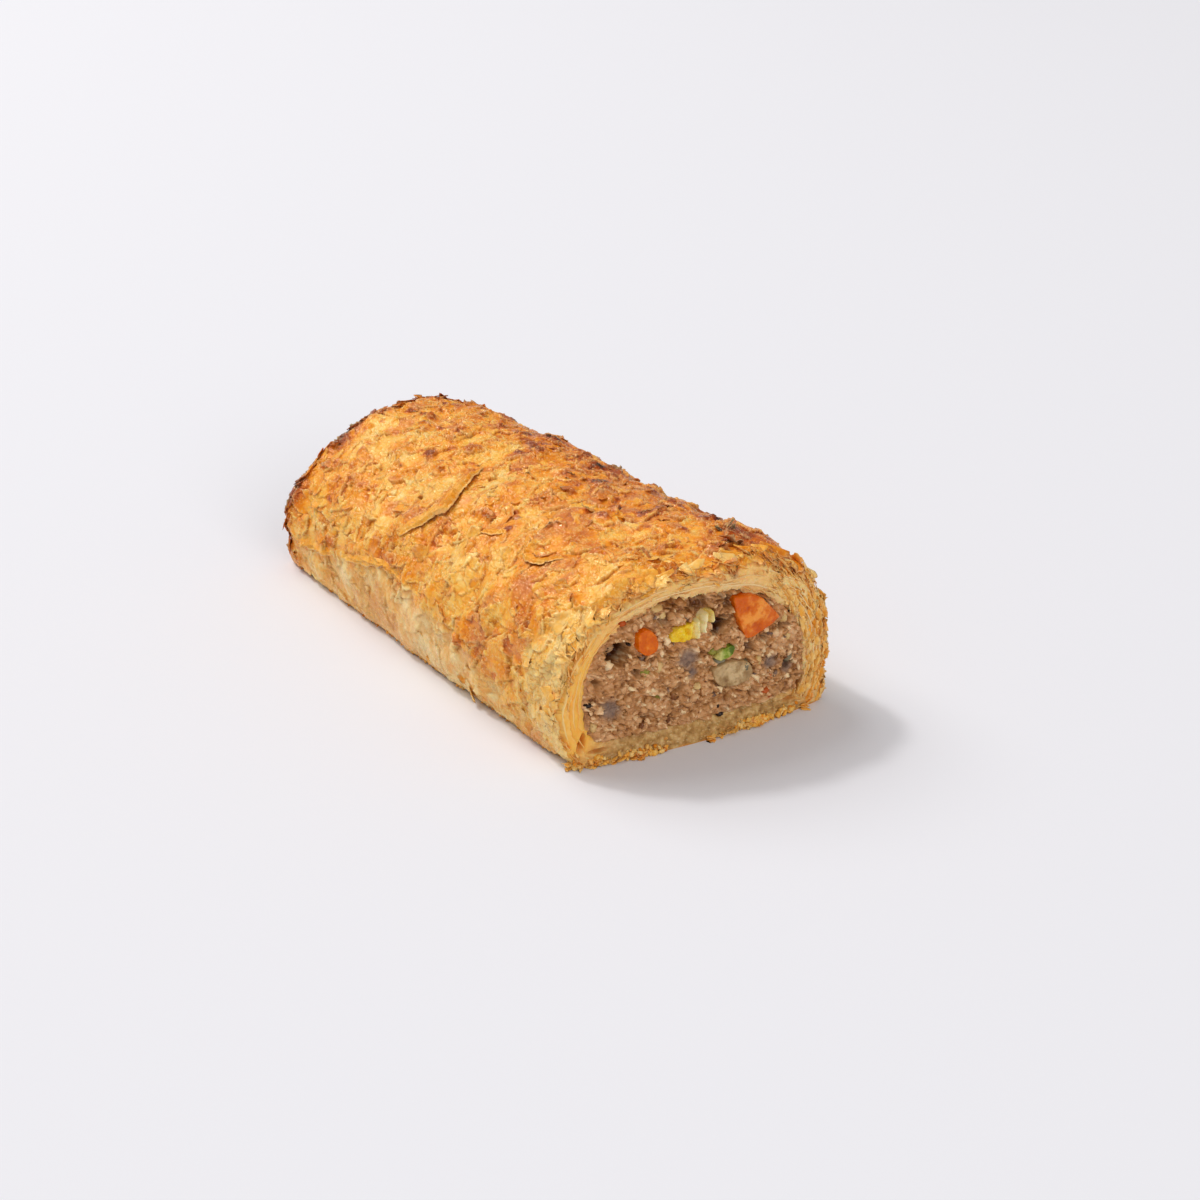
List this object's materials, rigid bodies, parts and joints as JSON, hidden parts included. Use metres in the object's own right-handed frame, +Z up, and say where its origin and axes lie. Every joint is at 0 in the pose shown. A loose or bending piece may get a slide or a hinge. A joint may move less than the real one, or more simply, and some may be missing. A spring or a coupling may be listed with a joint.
{
  "type": "sausage roll",
  "caption": "Baked puff pastry roll with a flat base and flaky crust round a meat and vegetable filling, which shows at one straight cut end.",
  "frame": {"origin": "centre of the roll's box at the level of its flat base", "axes": "+X along the roll towards the cut end, +Y across the roll, +Z up"},
  "size_m": [0.1318, 0.0678, 0.0402],
  "materials": {
    "pastry": "baked puff pastry, golden brown and flaky with darker blisters, paler layers at the cut",
    "filling": "cooked moist mince, grey brown, coarse",
    "carrot": "cooked carrot, moist",
    "leek": "cooked leek leaf, yellow, moist",
    "leek_green": "cooked leek leaf, green, moist",
    "onion": "cooked onion, translucent, moist"
  },
  "bodies": {
    "root": {"pastry": "pastry", "filling": "filling", "carrot_large": "carrot", "carrot_small": "carrot", "leek_curl": "leek", "leek_green": "leek_green", "onion_piece": "onion"}
  },
  "joints": []
}
